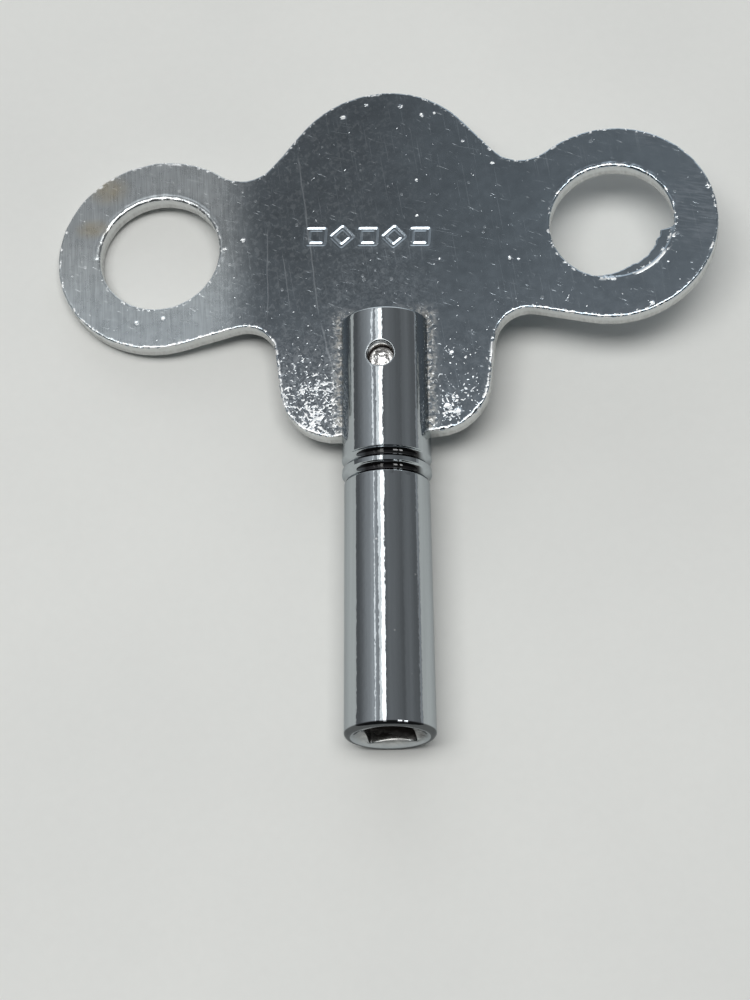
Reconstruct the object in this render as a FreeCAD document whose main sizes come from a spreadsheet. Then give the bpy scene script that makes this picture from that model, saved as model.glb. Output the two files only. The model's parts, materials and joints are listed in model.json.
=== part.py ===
"""A winged socket key: a stamped wing plate held in a slotted, turned barrel by a cross pin.

Frame, in millimetres: the barrel's axis is Y, with the socket's mouth at the origin and the
wings at +Y. The wing plate lies in the XY plane, halfway up the barrel, and +Z is up.
"""
import FreeCAD, Part
import math
import os
import re
import Sketcher

SIZES = {
    # wing plate: a trefoil stamped from sheet
    "sheet_thick": 1.6,
    "wing_reach": 21.0,      # barrel axis to the centre of each ring
    "wing_level": 47.5,      # mouth to the centre of each ring
    "wing_radius": 9.65,
    "eye_radius": 5.65,
    "crown_level": 53.1,     # mouth to the centre of the top lobe
    "crown_radius": 9.7,
    "flank_angle": 40.0,     # where the top lobe runs out into its straight flank
    "web_angle": 13.5,       # slope of the straight edge under each ring
    "heel_half": 8.93,       # half width of the plate at its foot
    "heel_flare": 7.3,       # how far the foot's sides lean out
    "heel_corner": 5.0,
    "upper_neck": 3.6,       # inside radius between top lobe and ring
    "lower_neck": 3.0,       # inside radius between ring and foot
    # barrel: turned from round bar, slotted for the plate
    "seat_level": 27.9,      # floor of the slot, where the plate's foot rests
    "bar_radius": 4.0,
    "bar_length": 39.0,
    "shank_radius": 3.82,    # under the grooves; the shank swells to bar_radius at the mouth
    "end_chamfer": 0.2,
    "groove_low": 23.6,
    "groove_high": 25.0,
    "groove_centre": 4.12,   # distance of the groove tool's centre from the axis
    "groove_round": 0.5,
    # socket: a square pressed into a drilled pilot
    "socket_width": 4.2,
    "socket_depth": 14.0,
    "pilot_radius": 2.0,
    "pilot_depth": 16.0,
    "drill_point": 1.3,
    "dish_radius": 3.4,
    "dish_depth": 0.45,
    # cross pin
    "pin_level": 34.4,
    "pin_radius": 1.2,
    "pin_length": 6.2,
    "pin_round": 0.2,
    "pin_hole_bevel": 0.15,
}


def make_sheet(doc):
    """Put every driving dimension in a spreadsheet cell with its own alias."""
    sheet = doc.addObject("Spreadsheet::Sheet", "Sizes")
    for row, (alias, value) in enumerate(SIZES.items(), start=1):
        sheet.set(f"A{row}", alias)
        sheet.set(f"B{row}", str(value))
        sheet.setAlias(f"B{row}", alias)
    doc.recompute()
    return sheet


def cell(words):
    """Turn the dimension names in an expression into references to the sheet."""
    return re.sub("[a-z_]+", lambda word: "Sizes." * (word[0] in SIZES) + word[0], words)


def value_of(sheet, words):
    """Work out an expression now, so that a sketch starts close to its solution."""
    result = sheet.evalExpression(cell(words))
    return float(getattr(result, "Value", result))


def point_of(sheet, place):
    across, along = place
    return FreeCAD.Vector(value_of(sheet, across), value_of(sheet, along), 0)


def new_body(doc, label):
    body = doc.addObject("PartDesign::Body", label)
    body.Label = label
    body.Placement = FreeCAD.Placement()
    return body


def new_sketch(body, name, plane="XY_Plane"):
    """A sketch on one of the body's own origin planes."""
    origin = next(part for part in body.Origin.OriginFeatures if part.Role == plane)
    sketch = body.newObject("Sketcher::SketchObject", name)
    sketch.AttachmentSupport = [(origin, "")]
    sketch.MapMode = "FlatFace"
    return sketch


def bind(sketch, index, name, words):
    sketch.renameConstraint(index, name)
    sketch.setExpression(f"Constraints.{name}", cell(words))


def place_point(sketch, sheet, geometry, point, name, across, along):
    """Hold a point at a distance across and along from the sketch's origin."""
    for axis, words in (("X", across), ("Y", along)):
        distance = value_of(sheet, words)
        kind = "Distance" + axis
        index = sketch.addConstraint(Sketcher.Constraint(kind, -1, 1, geometry, point, distance))
        bind(sketch, index, name + axis, words)


def arc_between(start, end, centre):
    """The arc from start anticlockwise to end."""
    first, last = (math.atan2(*reversed((point - centre)[:2])) for point in (start, end))
    if last < first:
        last += 2 * math.pi
    circle = Part.Circle(centre, FreeCAD.Vector(0, 0, 1), (start - centre).Length)
    return Part.ArcOfCircle(circle, first, last)


def add_outline(sketch, sheet, name, corners, arcs=None):
    """Draw a closed outline through corners given as pairs of expressions.

    Edges are straight, except that arcs gives the centre and radius of each round one.
    """
    arcs = arcs or {}
    points = [point_of(sheet, corner) for corner in corners]
    edges = []
    for number, (start, end) in enumerate(zip(points, points[1:] + points[:1])):
        if number in arcs:
            edge = arc_between(start, end, point_of(sheet, arcs[number][0]))
        else:
            edge = Part.LineSegment(start, end)
        edges.append(sketch.addGeometry(edge, False))
    for edge, following in zip(edges, edges[1:] + edges[:1]):
        sketch.addConstraint(Sketcher.Constraint("Coincident", edge, 2, following, 1))
    for number, (edge, (across, along)) in enumerate(zip(edges, corners)):
        place_point(sketch, sheet, edge, 1, f"{name}{number}", across, along)
        if number in arcs:
            bind_radius(sketch, sheet, edge, f"{name}{number}Radius", arcs[number][1])


def bind_radius(sketch, sheet, geometry, name, words):
    size = value_of(sheet, words)
    index = sketch.addConstraint(Sketcher.Constraint("Radius", geometry, size))
    bind(sketch, index, name, words)


def add_circle(sketch, sheet, name, centre, radius):
    circle = Part.Circle(point_of(sheet, centre), FreeCAD.Vector(0, 0, 1), value_of(sheet, radius))
    geometry = sketch.addGeometry(circle, False)
    bind_radius(sketch, sheet, geometry, name + "Radius", radius)
    place_point(sketch, sheet, geometry, 3, name, *centre)


def add_pad(body, name, sketch, length):
    """Thicken a sketch evenly to both sides of its plane."""
    pad = body.newObject("PartDesign::Pad", name)
    pad.Profile = sketch
    pad.SideType = "Symmetric"
    pad.setExpression("Length", cell(length))
    body.Tip = pad


def add_through_pocket(body, name, sketch):
    """Cut a sketch right through the body, to both sides of its plane."""
    pocket = body.newObject("PartDesign::Pocket", name)
    pocket.Profile = sketch
    pocket.SideType = "Symmetric"
    pocket.Type = "ThroughAll"
    body.Tip = pocket


def add_turned(body, kind, name, sketch):
    """Turn a sketch once round the barrel's axis, as metal added or cut away."""
    turned = body.newObject(kind, name)
    turned.Profile = sketch
    turned.ReferenceAxis = (sketch, ["V_Axis"])
    turned.Angle = 360
    body.Tip = turned


def nearest_upright(sheet, shape, corners):
    """Name the edge along Z that is nearest to each of the given corners."""
    names = []
    for corner in corners:
        place = Part.Vertex(point_of(sheet, corner))
        gaps = {}
        for number, edge in enumerate(shape.Edges, start=1):
            if edge.Curve.TypeId == "Part::GeomLine" and abs(edge.Curve.Direction.z) > 0.999:
                gaps[f"Edge{number}"] = edge.distToShape(place)[0]
        names.append(min(gaps, key=gaps.get))
    return names


def add_edge_finish(body, kind, name, edges, size_property, size):
    """Round or bevel the named edges of the body as it stands."""
    base = body.Tip
    finish = body.newObject(kind, name)
    finish.Base = (base, edges)
    finish.setExpression(size_property, cell(size))
    body.Tip = finish


def mirrored(place):
    across, along = place
    return "-1 * " + across, along


def wing_corners():
    """Right-hand corners of the plate from its foot up, before the sharp ones are rounded."""
    flank = "(flank_angle * 1 deg)"
    web = "(web_angle * 1 deg)"
    flare = "(heel_flare * 1 deg)"
    rise = "(crown_level - wing_level)"
    foot_side = (
        f"((wing_reach - heel_half) * sin{web} + (wing_level - seat_level) * cos{web}"
        " - wing_radius) / cos((web_angle - heel_flare) * 1 deg)"
    )
    flank_side = (
        f"(wing_reach * sin{flank} + {rise} * cos{flank} - sqrt(wing_radius ^ 2"
        f" - (wing_reach * cos{flank} - {rise} * sin{flank} - crown_radius) ^ 2))"
    )
    return {
        "foot": ("heel_half", "seat_level"),
        "web_corner": (
            f"(heel_half + {foot_side} * sin{flare})",
            f"seat_level + {foot_side} * cos{flare}",
        ),
        "web_end": (
            f"(wing_reach - wing_radius * sin{web})",
            f"wing_level - wing_radius * cos{web}",
        ),
        "flank_end": (
            f"(crown_radius * cos{flank} + {flank_side} * sin{flank})",
            f"crown_level + crown_radius * sin{flank} - {flank_side} * cos{flank}",
        ),
        "flank_start": (
            f"(crown_radius * cos{flank})",
            f"crown_level + crown_radius * sin{flank}",
        ),
    }


def make_wing_plate(doc, sheet):
    """The stamped plate: a top lobe, two rings and a foot that stands in the barrel's slot."""
    body = new_body(doc, "wing_plate")
    right = wing_corners()
    ring = ("wing_reach", "wing_level")
    crown = ("0", "crown_level")

    outline = new_sketch(body, "plate_outline")
    corners = list(right.values()) + [mirrored(place) for place in reversed(right.values())]
    arcs = {
        2: (ring, "wing_radius"),
        4: (crown, "crown_radius"),
        6: (mirrored(ring), "wing_radius"),
    }
    add_outline(outline, sheet, "corner", corners, arcs)
    add_pad(body, "plate", outline, "sheet_thick")
    doc.recompute()

    for name, corner, radius in (
        ("upper_necks", right["flank_end"], "upper_neck"),
        ("lower_necks", right["web_corner"], "lower_neck"),
        ("heel_corners", right["foot"], "heel_corner"),
    ):
        edges = nearest_upright(sheet, body.Tip.Shape, [corner, mirrored(corner)])
        add_edge_finish(body, "PartDesign::Fillet", name, edges, "Radius", radius)
        doc.recompute()

    holes = new_sketch(body, "hole_outline")
    add_circle(holes, sheet, "right", ring, "eye_radius")
    add_circle(holes, sheet, "left", mirrored(ring), "eye_radius")
    add_circle(holes, sheet, "pin", ("0", "pin_level"), "pin_radius")
    add_through_pocket(body, "holes", holes)
    return body


def make_barrel(doc, sheet):
    """The turned barrel: socket at the mouth, two grooves, and the slot with its cross hole."""
    body = new_body(doc, "barrel")

    profile = new_sketch(body, "half_profile")
    add_outline(profile, sheet, "corner", [
        ("0", "pilot_depth + drill_point"),
        ("pilot_radius", "pilot_depth"),
        ("pilot_radius", "dish_depth"),
        ("dish_radius", "0"),
        ("bar_radius - end_chamfer", "0"),
        ("bar_radius", "end_chamfer"),
        ("shank_radius", "groove_low"),
        ("bar_radius", "groove_low"),
        ("bar_radius", "bar_length - end_chamfer"),
        ("bar_radius - end_chamfer", "bar_length"),
        ("0", "bar_length"),
    ])
    add_turned(body, "PartDesign::Revolution", "turned_bar", profile)

    grooves = new_sketch(body, "groove_tool")
    for name in ("groove_low", "groove_high"):
        add_circle(grooves, sheet, name, ("groove_centre", name), "groove_round")
    add_turned(body, "PartDesign::Groove", "grooves", grooves)

    slot = new_sketch(body, "slot_outline", "YZ_Plane")
    add_outline(slot, sheet, "corner", [
        ("seat_level", "-0.5 * sheet_thick"),
        ("bar_length + 1", "-0.5 * sheet_thick"),
        ("bar_length + 1", "0.5 * sheet_thick"),
        ("seat_level", "0.5 * sheet_thick"),
    ])
    add_through_pocket(body, "slot", slot)

    cross = new_sketch(body, "cross_hole_outline")
    add_circle(cross, sheet, "cross", ("0", "pin_level"), "pin_radius")
    add_through_pocket(body, "cross_hole", cross)
    doc.recompute()
    bevel_cross_hole(body, sheet)

    square = new_sketch(body, "socket_outline", "XZ_Plane")
    near, far = "-0.5 * socket_width", "0.5 * socket_width"
    add_outline(square, sheet, "corner", [(near, near), (far, near), (far, far), (near, far)])
    socket = body.newObject("PartDesign::Pocket", "socket")
    socket.Profile = square
    socket.setExpression("Length", cell("socket_depth"))
    body.Tip = socket
    return body


def bevel_cross_hole(body, sheet):
    """Break the two outer rims of the cross hole."""
    just_inside = value_of(sheet, "bar_radius - 2 * pin_hole_bevel")
    hole_width = value_of(sheet, "2.1 * pin_radius")
    level = value_of(sheet, "pin_level")
    rims = []
    for number, edge in enumerate(body.Tip.Shape.Edges, start=1):
        box = edge.BoundBox
        outside = min(abs(box.ZMin), abs(box.ZMax)) > just_inside
        around_pin = abs(box.Center.y - level) < 0.1 and box.XLength < hole_width
        if outside and around_pin:
            rims.append(f"Edge{number}")
    add_edge_finish(body, "PartDesign::Chamfer", "cross_hole_bevel", rims, "Size", "pin_hole_bevel")


def make_retaining_pin(doc, sheet):
    """The headless pin pressed through barrel and plate, with softly rounded ends."""
    body = new_body(doc, "retaining_pin")
    section = new_sketch(body, "pin_section")
    add_circle(section, sheet, "pin", ("0", "pin_level"), "pin_radius")
    add_pad(body, "pin", section, "pin_length")
    doc.recompute()
    ends = [
        f"Edge{number}"
        for number, edge in enumerate(body.Tip.Shape.Edges, start=1)
        if edge.Curve.TypeId == "Part::GeomCircle"
    ]
    add_edge_finish(body, "PartDesign::Fillet", "pin_ends", ends, "Radius", "pin_round")
    return body


def check(doc, bodies):
    """Stop on any failed feature, and on a body that isn't one sound solid."""
    for item in doc.Objects:
        if {"Invalid", "Error"} & set(item.State):
            raise RuntimeError(f"{item.Name}: {item.State}")
    for body in bodies:
        shape = body.Shape
        if shape.isNull() or not shape.isValid() or len(shape.Solids) != 1:
            raise RuntimeError(f"{body.Label} is not one valid solid")


def main():
    doc = FreeCAD.newDocument("winged_key")
    sheet = make_sheet(doc)
    bodies = [
        make_wing_plate(doc, sheet),
        make_barrel(doc, sheet),
        make_retaining_pin(doc, sheet),
    ]
    doc.recompute()
    check(doc, bodies)
    os.makedirs("parts", exist_ok=True)
    for body in bodies:
        body.Shape.exportStep(f"parts/{body.Label}.step")
        box = body.Shape.BoundBox
        print(f"{body.Label}: {body.Shape.Volume:.2f} mm3, x {box.XMin:.2f} to {box.XMax:.2f},"
              f" y {box.YMin:.2f} to {box.YMax:.2f}, z {box.ZMin:.2f} to {box.ZMax:.2f}")


main()
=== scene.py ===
"""Looks of a winged socket key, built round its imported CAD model. Lengths are in millimetres."""
import json
import math

import bmesh
import bpy
import numpy as np
from mathutils import Matrix, Vector, geometry, kdtree, noise


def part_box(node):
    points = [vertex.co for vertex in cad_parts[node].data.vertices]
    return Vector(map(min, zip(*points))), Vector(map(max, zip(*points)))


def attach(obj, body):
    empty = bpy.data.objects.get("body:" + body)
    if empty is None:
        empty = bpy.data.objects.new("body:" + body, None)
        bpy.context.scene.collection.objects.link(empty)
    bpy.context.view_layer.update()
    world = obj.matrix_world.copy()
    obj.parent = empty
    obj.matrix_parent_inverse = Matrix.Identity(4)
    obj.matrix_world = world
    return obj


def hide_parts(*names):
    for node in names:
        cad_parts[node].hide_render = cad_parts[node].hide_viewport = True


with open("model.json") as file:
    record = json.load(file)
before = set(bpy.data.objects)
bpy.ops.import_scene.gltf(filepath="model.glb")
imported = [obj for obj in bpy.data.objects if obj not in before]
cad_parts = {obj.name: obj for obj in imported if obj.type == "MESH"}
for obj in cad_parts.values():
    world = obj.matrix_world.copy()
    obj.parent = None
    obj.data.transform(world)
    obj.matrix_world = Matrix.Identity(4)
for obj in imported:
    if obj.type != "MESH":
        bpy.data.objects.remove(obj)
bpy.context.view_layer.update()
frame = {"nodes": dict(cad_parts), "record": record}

MM = 0.001


# ---------- the part's own sizes, in millimetres, from the frame ----------

def corners_mm(node_name):
    low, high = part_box(node_name)
    return np.array(low) / MM, np.array(high) / MM


plate_low, plate_high = corners_mm("wing_plate")
barrel_low, barrel_high = corners_mm("barrel")
pin_low, pin_high = corners_mm("retaining_pin")
mounts = {mount["name"]: mount for mount in frame["record"]["mounts"]}

SHEET = float(plate_high[2])                 # half the sheet's thickness
SEAT = float(plate_low[1])                   # foot of the plate, floor of the slot
BAR = float(barrel_high[0])                  # radius of the bar
LENGTH = float(barrel_high[1])
PIN = float(pin_high[0])                     # radius of the pin and its hole
PIN_Y = float(pin_low[1] + pin_high[1]) / 2
PIN_TOP = float(pin_high[2])


class Skin:
    """Points and faces of one mesh, gathered row by row."""

    def __init__(self):
        self.points = []
        self.faces = []
        self.walls_from = None      # faces from this one on take the second material

    def row(self, points):
        first = len(self.points)
        self.points.extend(tuple(map(float, point)) for point in points)
        return list(range(first, len(self.points)))

    def bridge(self, one, two, closed=True):
        count = len(one) if closed else len(one) - 1
        for i in range(count):
            j = (i + 1) % len(one)
            self.faces.append((one[i], one[j], two[j], two[i]))

    def fill(self, outer, *holes):
        loops = [outer, *holes]
        order = [index for loop in loops for index in loop]
        flat = [[Vector(self.points[i]) for i in loop] for loop in loops]
        for a, b, c in geometry.tessellate_polygon(flat):
            self.faces.append((order[a], order[b], order[c]))

    def build(self, name, sharp_deg):
        mesh = bpy.data.meshes.new(name)
        mesh.from_pydata([tuple(c * MM for c in p) for p in self.points], [], self.faces)
        if self.walls_from is not None:
            slots = np.arange(len(mesh.polygons)) >= self.walls_from
            mesh.polygons.foreach_set("material_index", slots.astype(np.int32))
        work = bmesh.new()
        work.from_mesh(mesh)
        bmesh.ops.remove_doubles(work, verts=work.verts, dist=2e-7)
        bmesh.ops.dissolve_degenerate(work, edges=work.edges, dist=1e-8)
        bmesh.ops.recalc_face_normals(work, faces=work.faces)
        loose = [v for v in work.verts if not v.link_faces]
        bmesh.ops.delete(work, geom=loose, context="VERTS")
        work.to_mesh(mesh)
        work.free()
        mesh.shade_smooth()
        mesh.set_sharp_from_angle(angle=math.radians(sharp_deg))
        piece = bpy.data.objects.new(name, mesh)
        bpy.context.scene.collection.objects.link(piece)
        return piece


# ---------- barrel ----------

SHANK = 3.82                 # radius just below the low groove
GROOVES = (23.6, 25.0)       # heights of the two grooves
GROOVE_CENTRE = 4.12
GROOVE_ROUND = 0.5
SOCKET = 4.2
SOCKET_DEPTH = 14.0
PILOT = 2.0
PILOT_DEPTH = 16.0
DRILL_POINT = 1.3
DISH = 3.4
DISH_DEPTH = 0.45
RIM_ROUND = 0.42             # rounding of the mouth
END_ROUND = 0.22             # rounding of the slotted end
BORE_ROUND = 0.17            # rounding of the cross hole
SLOT_ANGLE = math.asin(SHEET / BAR)
UPPER_COLUMNS = 169
SLOT_COLUMNS = 23


def soft_min(a, b, width):
    h = np.clip(0.5 + 0.5 * (b - a) / width, 0, 1)
    return b + (a - b) * h - width * h * (1 - h)


def bar_radius(y):
    """Outer radius of the barrel at a height y, grooves and rounded ends included."""
    y = np.asarray(y, float)
    taper = BAR + (SHANK - BAR) * y / GROOVES[0]
    radius = np.where(y < GROOVES[0], taper, BAR)
    for level in GROOVES:
        inside = np.clip(GROOVE_ROUND ** 2 - (y - level) ** 2, 0, None)
        cut = GROOVE_CENTRE - np.sqrt(inside)
        cut = np.where(inside > 0, cut, GROOVE_CENTRE + 4 * (np.abs(y - level) - GROOVE_ROUND))
        radius = soft_min(radius, cut, 0.10)
    low = np.clip((RIM_ROUND - y) / RIM_ROUND, 0, 1)
    high = np.clip((y - (LENGTH - END_ROUND)) / END_ROUND, 0, 1)
    return radius - RIM_ROUND * (1 - np.sqrt(1 - low ** 2)) - END_ROUND * (1 - np.sqrt(1 - high ** 2))


def square_radius(angle):
    """Distance from the axis to the wall of the square socket, its corners a little rounded."""
    power = 16
    c, s = np.abs(np.cos(angle)), np.abs(np.sin(angle))
    return SOCKET / 2 / (c ** power + s ** power) ** (1 / power)


def barrel_levels():
    rim = [RIM_ROUND * (1 - math.cos(a)) for a in np.linspace(0, math.pi / 2, 9)]
    shank = list(np.linspace(RIM_ROUND, GROOVES[0] - 0.75, 24))[1:]
    grooved = list(np.arange(GROOVES[0] - 0.73, GROOVES[1] + 0.76, 0.022))
    neck = list(np.linspace(GROOVES[1] + 0.8, SEAT, 6))
    return rim + shank + grooved + neck


def make_barrel():
    skin = Skin()
    upper = np.linspace(SLOT_ANGLE, math.pi - SLOT_ANGLE, UPPER_COLUMNS)
    side = np.linspace(-SLOT_ANGLE, SLOT_ANGLE, SLOT_COLUMNS + 2)[1:-1]
    ring = np.concatenate([upper, side + math.pi, upper + math.pi, side + 2 * math.pi])
    cos, sin = np.cos(ring), np.sin(ring)

    def full_row(radius, y):
        return skin.row(np.c_[radius * cos, np.broadcast_to(y, ring.shape), radius * sin])

    square = square_radius(ring)
    pilot = full_row(PILOT, PILOT_DEPTH)
    tip = skin.row([(0, PILOT_DEPTH + DRILL_POINT, 0)])[0]
    for i in range(len(pilot)):
        skin.faces.append((pilot[i], pilot[(i + 1) % len(pilot)], tip))
    rows = [pilot, full_row(PILOT, SOCKET_DEPTH)]
    rows += [full_row(square, y) for y in (SOCKET_DEPTH, 11, 8, 5.5, 3.5, 2, 1.2, 0.8)]
    slope = DISH_DEPTH / (DISH - PILOT)
    lip = slope * (DISH - square)
    rows.append(full_row(square, lip + 0.10))
    rows.append(full_row(square + 0.015, lip + 0.045))
    for share in np.linspace(0.03, 0.97, 12):
        radius = square + (DISH - square) * share
        sag = 0.10 * np.sin(math.pi * share) ** 2
        rows.append(full_row(radius, np.clip(slope * (DISH - radius) + sag, 0, None)))
    rows.append(full_row(DISH + 0.06, 0.006))
    rows.append(full_row(DISH + 0.12, 0.0))
    levels = barrel_levels()
    for y in levels:
        rows.append(full_row(float(bar_radius(y)), y))
    for one, two in zip(rows, rows[1:]):
        skin.bridge(one, two)

    last = rows[-1]
    count = UPPER_COLUMNS
    left_side = last[count:count + SLOT_COLUMNS]
    lower_part = last[count + SLOT_COLUMNS:2 * count + SLOT_COLUMNS]
    right_side = last[2 * count + SLOT_COLUMNS:]
    skin.fill([last[count - 1], *left_side, lower_part[0], lower_part[-1], *right_side, last[0]])
    add_jaw(skin, upper, last[:count], 1)
    add_jaw(skin, upper, lower_part, -1)
    return skin.build("key_barrel", 35)


def add_jaw(skin, angles, first, side):
    """One half of the slotted end, above (side 1) or below the plate, with its cross hole."""
    step = 0.105
    half = 2.1
    low = list(np.linspace(SEAT, PIN_Y - half, 30))[1:]
    middle = list(np.arange(PIN_Y - half + step, PIN_Y + half - step / 2, step))
    high = list(np.linspace(PIN_Y + half, LENGTH - END_ROUND, 14))
    end = [LENGTH - END_ROUND + END_ROUND * math.sin(a) for a in np.linspace(0, math.pi / 2, 7)][1:]
    levels = low + middle + high + end
    rows = [first]
    for y in levels:
        radius = float(bar_radius(y))
        x = radius * np.cos(angles)
        z = radius * np.sin(angles)
        x[0], x[-1] = math.sqrt(radius ** 2 - SHEET ** 2), -math.sqrt(radius ** 2 - SHEET ** 2)
        z[0] = z[-1] = SHEET
        if side < 0:
            x = -x
        rows.append(skin.row(np.c_[x, np.full(len(x), y), side * z]))
    start, stop = len(low), len(low) + len(middle) + 1
    across = np.abs(BAR * np.cos(angles)) <= half + 1e-6
    left, right = np.flatnonzero(across)[[0, -1]]
    for number, (one, two) in enumerate(zip(rows, rows[1:])):
        if start <= number < stop:
            skin.bridge(one[:left + 1], two[:left + 1], closed=False)
            skin.bridge(one[right:], two[right:], closed=False)
        else:
            skin.bridge(one, two, closed=False)
    window = rows[start][left:right] + [rows[k][right] for k in range(start, stop)]
    window += rows[stop][right:left:-1] + [rows[k][left] for k in range(stop, start, -1)]
    bore = add_cross_hole(skin, window, side)
    wall = [row[0] for row in rows] + [row[-1] for row in reversed(rows)]
    skin.fill(wall, bore)
    skin.fill(rows[-1])


def add_cross_hole(skin, window, side):
    """Lead the square window in the wall round into the hole: skin, rounded lip, bore."""
    outer = np.array([skin.points[i] for i in window])
    centre = np.array([0, PIN_Y])
    flat = outer[:, :2] - centre
    angle = np.arctan2(flat[:, 1], flat[:, 0])
    unit = np.c_[np.cos(angle), np.sin(angle)]
    reach = np.linalg.norm(flat, axis=1)
    lip = PIN + BORE_ROUND

    def on_wall(radius, sink=0.0):
        xy = unit * np.broadcast_to(radius, reach.shape)[:, None] + centre
        z = np.sqrt(BAR ** 2 - xy[:, 0] ** 2) - sink
        return skin.row(np.c_[xy, side * z])

    previous = window
    for share in np.linspace(0, 1, 12)[1:]:
        row = on_wall(reach + (lip - reach) * share)
        skin.bridge(previous, row)
        previous = row
    for turn in np.linspace(0, math.pi / 2, 6)[1:]:
        row = on_wall(lip - BORE_ROUND * math.sin(turn), BORE_ROUND * (1 - math.cos(turn)))
        skin.bridge(previous, row)
        previous = row
    depths = np.linspace(0, 1, 8)[1:]
    top = np.array([skin.points[i] for i in previous])
    for depth in depths:
        z = side * np.abs(top[:, 2]) * (1 - depth) + side * SHEET * depth
        row = skin.row(np.c_[unit * PIN + centre, z])
        skin.bridge(previous, row)
        previous = row
    return previous


# ---------- pin ----------

def make_pin():
    """The cross pin. Its ends are domed and a little hammered."""
    skin = Skin()
    turns = np.linspace(0, 2 * math.pi, 97)[:-1]
    profile = [(PIN, z) for z in np.linspace(-2.2, 2.2, 9)]
    corner = [(PIN - 0.24 * (1 - math.cos(a)), 2.46 + 0.3 * math.sin(a))
              for a in np.linspace(0, math.pi / 2, 7)]
    dome = [(r, 2.76 + 0.30 * (1 - (r / 0.96) ** 2)) for r in np.linspace(0.92, 0.06, 20)]
    upper = corner + dome
    rows = []
    profile = [(r, -z) for r, z in reversed(upper)] + profile + upper
    for radius, z in profile:
        x, y = radius * np.cos(turns), radius * np.sin(turns)
        z = np.full(len(turns), float(z))
        if abs(z[0]) > 2.7:
            bump = [noise.noise(Vector((a * 2.3, b * 2.3, c + 7)))
                    + 0.5 * noise.noise(Vector((a * 6, b * 6, c)))
                    for a, b, c in zip(x, y, z)]
            fade = min(1.0, (0.98 - radius) / 0.2)
            z = z + np.sign(z) * (np.array(bump) * 0.09 - 0.07) * max(fade, 0)
        rows.append(skin.row(np.c_[x, y + PIN_Y, np.clip(z, -PIN_TOP, PIN_TOP)]))
    for one, two in zip(rows, rows[1:]):
        skin.bridge(one, two)
    skin.fill(rows[0])
    skin.fill(rows[-1])
    return skin.build("key_pin", 50)


# ---------- plate ----------

def loops_at(node_name, level):
    """The closed edges of a CAD node's flat face at one height, in millimetres."""
    mesh = frame["nodes"][node_name].data
    spots = [tuple(round(c / MM, 4) for c in v.co) for v in mesh.vertices]
    seen = {}
    for face in mesh.polygons:
        points = [spots[i] for i in face.vertices]
        if all(abs(p[2] - level) < 1e-3 for p in points):
            for a, b in zip(points, points[1:] + points[:1]):
                seen[a, b] = True
    rim = {a: b for a, b in seen if (b, a) not in seen}
    loops = []
    while rim:
        start = next(iter(rim))
        loop = [start]
        here = rim.pop(start)
        while here != start:
            loop.append(here)
            here = rim.pop(here)
        loops.append(np.array(loop)[:, :2])
    return sorted(loops, key=lambda loop: -np.ptp(loop[:, 0]))


def even_loop(loop, spacing):
    """The same closed line through evenly spaced points, its facets smoothed to curves."""
    dense = []
    for a, b in zip(loop, np.roll(loop, -1, 0)):
        cuts = max(1, int(np.linalg.norm(b - a) / 1.6))
        dense += [a + (b - a) * k / cuts for k in range(cuts)]
    p = np.array(dense)
    gap = np.linalg.norm(np.roll(p, -1, 0) - p, axis=1)
    at = np.r_[0, np.cumsum(gap)]
    before = np.roll(gap, 1)[:, None]
    after = gap[:, None]
    ahead = (np.roll(p, -1, 0) - p) / after
    behind = (p - np.roll(p, 1, 0)) / before
    slope = (ahead * before + behind * after) / (before + after)
    count = int(round(at[-1] / spacing))
    s = np.arange(count) * at[-1] / count
    k = np.clip(np.searchsorted(at, s, "right") - 1, 0, len(p) - 1)
    n = (k + 1) % len(p)
    h = gap[k][:, None]
    u = ((s - at[k]) / gap[k])[:, None]
    return ((2 * u ** 3 - 3 * u ** 2 + 1) * p[k] + (u ** 3 - 2 * u ** 2 + u) * h * slope[k]
            + (3 * u ** 2 - 2 * u ** 3) * p[n] + (u ** 3 - u ** 2) * h * slope[n])


def inside(points, loop):
    """Which of the points lie inside a closed line."""
    x, y = points[:, 0][:, None], points[:, 1][:, None]
    a, b = loop, np.roll(loop, -1, 0)
    spans = (a[:, 1] > y) != (b[:, 1] > y)
    with np.errstate(divide="ignore", invalid="ignore"):
        cross = a[:, 0] + (y - a[:, 1]) * (b[:, 0] - a[:, 0]) / (b[:, 1] - a[:, 1])
    return np.sum(spans & (x < cross), axis=1) % 2 == 1


def smooth_step(x):
    x = np.clip(x, 0, 1)
    return x * x * (3 - 2 * x)


def wobble(points, scale, seed):
    return np.array([noise.noise(Vector((x * scale, y * scale, seed))) for x, y in points])


HOLE_ROLL = 0.16
EDGE_ROLL = 0.17
CRACK = 5.62                 # radius where the torn flap leaves the right ring's edge
RING_X = float(mounts["right_ring"]["pos_m"][0]) / MM
RING_Y = float(mounts["right_ring"]["pos_m"][1]) / MM
RIGHT = np.array([RING_X, RING_Y])
LEFT = np.array([-RING_X, RING_Y])


def polar(points, centre):
    offset = points - centre
    return np.linalg.norm(offset, axis=1), np.degrees(np.arctan2(offset[:, 1], offset[:, 0]))


def flap_reach(angle):
    """How far the torn flap stands into the right ring, by the angle round the ring."""
    return np.interp(angle, [-112, -92, -74, -50, -28, -15, -8], [0, 0.45, 0.85, 0.92, 1.12, 1.08, 0])


def with_flap(loop):
    radius, angle = polar(loop, RIGHT)
    ragged = 1 + 0.10 * wobble(loop, 1.6, 3.0) + 0.06 * wobble(loop, 5.0, 9.0)
    unit = (loop - RIGHT) / radius[:, None]
    return RIGHT + unit * (radius - flap_reach(angle) * ragged)[:, None]


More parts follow.
